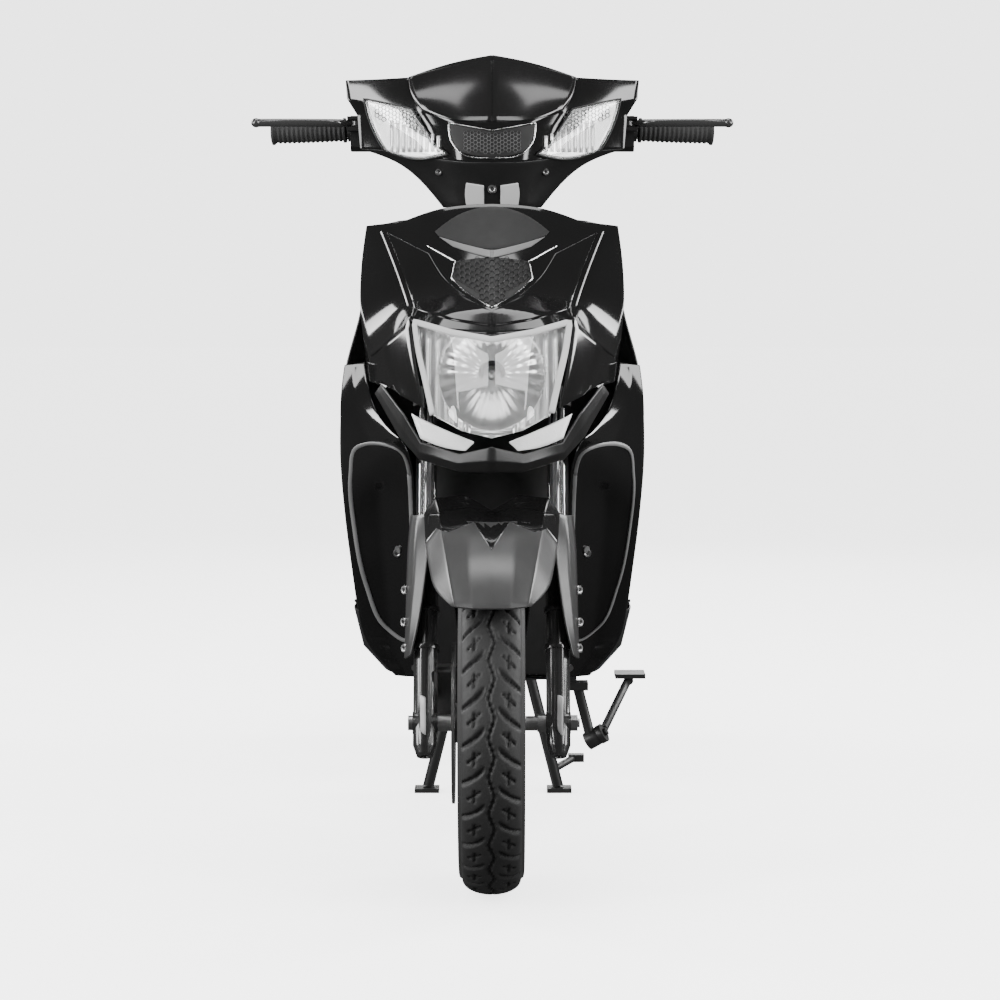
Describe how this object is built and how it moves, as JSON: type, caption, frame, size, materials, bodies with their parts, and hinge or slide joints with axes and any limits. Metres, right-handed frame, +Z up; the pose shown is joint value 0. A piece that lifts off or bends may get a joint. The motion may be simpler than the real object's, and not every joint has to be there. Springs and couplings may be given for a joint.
{
  "type": "moped scooter",
  "caption": "Step-through electric moped scooter with steering, suspension, stands, lifting seat, levers and switches that move.",
  "frame": {"origin": "on the floor under the middle of the whole vehicle", "axes": "+Z up, -Y forwards, +X towards the rider's left"},
  "size_m": [0.71, 1.813, 1.1639],
  "materials": {
    "frame_paint": "satin black paint",
    "steel": "plain steel",
    "gloss_body": "gloss black moulded plastic",
    "visor_gloss": "dark gloss visor",
    "fender_gloss": "gloss dark grey",
    "satin_trim": "textured black plastic",
    "reflector": "vacuum-coated chrome bowl",
    "clear_lens": "clear moulded lens",
    "red_lens": "red moulded lens",
    "display_glass": "dark display window",
    "battery_case": "dark grey case",
    "chrome_tube": "hard chrome",
    "fork_paint": "gloss black paint",
    "cast_bracket": "grey casting",
    "caliper_paint": "dark painted casting",
    "disc_steel": "turned brake disc",
    "rim_paint": "black painted alloy",
    "tyre_rubber": "moulded tread",
    "spring_paint": "black coated spring wire",
    "seat_vinyl": "stitched black vinyl",
    "grip_rubber": "ribbed rubber",
    "lever_gloss": "gloss black paint",
    "button_plastic": "dark grey plastic",
    "red_button": "red plastic"
  },
  "bodies": {
    "frame": {"main_frame": "frame_paint", "steering_bearings": "steel", "nose_panel": "gloss_body", "nose_grille": "satin_trim", "headlamp_housing": "reflector", "front_lamp_lenses": "clear_lens", "beak_trim": "gloss_body", "leg_shield_left": "gloss_body", "leg_shield_right": "gloss_body", "inner_leg_shield": "satin_trim", "splash_guard": "satin_trim", "floorboard": "satin_trim", "belly_pan": "satin_trim", "battery_pack": "battery_case", "storage_bucket": "satin_trim", "side_cover_left": "gloss_body", "side_cover_right": "gloss_body", "tail_lamp_lens": "red_lens", "grab_rail": "frame_paint", "rear_mudguard": "satin_trim", "body_screws": "steel", "side_stand_bracket": "cast_bracket"},
    "steering": {"steering_stem": "frame_paint", "fork_stanchions": "chrome_tube", "handlebar": "frame_paint", "handlebar_front_cowl": "gloss_body", "handlebar_rear_cowl": "satin_trim", "windscreen_visor": "visor_gloss", "indicator_lenses": "clear_lens", "cowl_grille": "satin_trim", "dash_display": "display_glass", "left_grip": "grip_rubber", "left_switch_housing": "satin_trim", "right_switch_housing": "satin_trim"},
    "fork_lower": {"fork_lower_legs": "fork_paint", "front_fender": "fender_gloss", "front_axle": "steel", "brake_caliper": "caliper_paint"},
    "front_wheel": {"front_tyre": "tyre_rubber", "front_rim": "rim_paint", "brake_disc": "disc_steel", "front_wheel_bearings": "steel"},
    "swingarm": {"swingarm": "frame_paint", "rear_axle": "steel"},
    "rear_wheel": {"rear_tyre": "tyre_rubber", "rear_hub_motor": "rim_paint"},
    "shock_upper": {"shock_bodies": "fork_paint"},
    "shock_lower": {"shock_rods": "chrome_tube", "shock_springs": "spring_paint"},
    "centre_stand": {"centre_stand": "frame_paint"},
    "side_stand": {"side_stand": "frame_paint"},
    "seat": {"seat_cushion": "seat_vinyl", "seat_pan": "satin_trim"},
    "throttle": {"throttle_grip": "grip_rubber"},
    "lever_left": {"brake_lever_left": "lever_gloss"},
    "lever_right": {"brake_lever_right": "lever_gloss"},
    "horn": {"horn_button": "button_plastic"},
    "turn": {"turn_switch": "button_plastic"},
    "power": {"power_switch": "red_button"},
    "key": {"ignition_key": "steel"}
  },
  "joints": [
    {"name": "steering", "type": "hinge", "parent": "frame", "child": "steering", "pos_m": [0, -0.65013, 0.2216], "axis": [0, 0.4384, 0.8988], "range_deg": [-40, 40]},
    {"name": "front_suspension", "type": "slide", "parent": "steering", "child": "fork_lower", "axis": [0, 0.4384, 0.8988], "range_m": [0, 0.05], "stiffness_N_per_m": 9000, "springref_m": -0.05},
    {"name": "front_wheel_spin", "type": "hinge", "parent": "fork_lower", "child": "front_wheel", "pos_m": [0, -0.6735, 0.233], "axis": [1, 0, 0], "continuous": true},
    {"name": "rear_suspension", "type": "hinge", "parent": "frame", "child": "swingarm", "pos_m": [0, 0.2315, 0.3], "axis": [1, 0, 0], "range_deg": [0, 9], "stiffness_Nm_per_rad": 1500, "springref_deg": -2.86},
    {"name": "rear_wheel_spin", "type": "hinge", "parent": "swingarm", "child": "rear_wheel", "pos_m": [0, 0.6165, 0.243], "axis": [1, 0, 0], "continuous": true},
    {"name": "shock_upper_pivot", "type": "hinge", "parent": "frame", "child": "shock_upper", "pos_m": [0, 0.5165, 0.6], "axis": [1, 0, 0], "range_deg": [-1, 3]},
    {"name": "shock_lower_pivot", "type": "hinge", "parent": "swingarm", "child": "shock_lower", "pos_m": [0, 0.5715, 0.258], "axis": [1, 0, 0], "range_deg": [-8, 1], "deforming": ["shock_springs"]},
    {"name": "centre_stand_fold", "type": "hinge", "parent": "frame", "child": "centre_stand", "pos_m": [0, 0.1885, 0.205], "axis": [1, 0, 0], "range_deg": [0, 80]},
    {"name": "side_stand_fold", "type": "hinge", "parent": "frame", "child": "side_stand", "pos_m": [0.166, -0.0735, 0.128], "axis": [-0.8365, 0.2241, -0.5], "range_deg": [0, 88]},
    {"name": "seat_hinge", "type": "hinge", "parent": "frame", "child": "seat", "pos_m": [0, 0.1385, 0.728], "axis": [1, 0, 0], "range_deg": [0, 75]},
    {"name": "throttle_twist", "type": "hinge", "parent": "steering", "child": "throttle", "pos_m": [-0.256, -0.228, 1.056], "axis": [-0.9961, 0.083, -0.0302], "range_deg": [0, 70], "stiffness_Nm_per_rad": 0.3},
    {"name": "brake_lever_left_pivot", "type": "hinge", "parent": "steering", "child": "lever_left", "pos_m": [0.2, -0.2585, 1.066], "axis": [0, 0, 1], "range_deg": [0, 13], "stiffness_Nm_per_rad": 2, "springref_deg": -11.46},
    {"name": "brake_lever_right_pivot", "type": "hinge", "parent": "steering", "child": "lever_right", "pos_m": [-0.2, -0.2585, 1.066], "axis": [0, 0, -1], "range_deg": [0, 13], "stiffness_Nm_per_rad": 2, "springref_deg": -11.46},
    {"name": "horn_press", "type": "slide", "parent": "steering", "child": "horn", "axis": [0, -1, 0], "range_m": [0, 0.0025], "stiffness_N_per_m": 400, "springref_m": -0.0005},
    {"name": "turn_switch_press", "type": "slide", "parent": "steering", "child": "turn", "axis": [0, -1, 0], "range_m": [0, 0.0025], "stiffness_N_per_m": 400, "springref_m": -0.0005},
    {"name": "power_press", "type": "slide", "parent": "steering", "child": "power", "axis": [0, -1, 0], "range_m": [0, 0.0025], "stiffness_N_per_m": 400, "springref_m": -0.0005},
    {"name": "ignition_key_turn", "type": "hinge", "parent": "frame", "child": "key", "pos_m": [-0.11, -0.2885, 0.74], "axis": [0, -1, 0], "range_deg": [0, 90]}
  ],
  "couplings": [
    {"joint": "shock_upper_pivot", "follows": "rear_suspension", "ratio": 0.2146},
    {"joint": "shock_lower_pivot", "follows": "rear_suspension", "ratio": -0.7854}
  ]
}
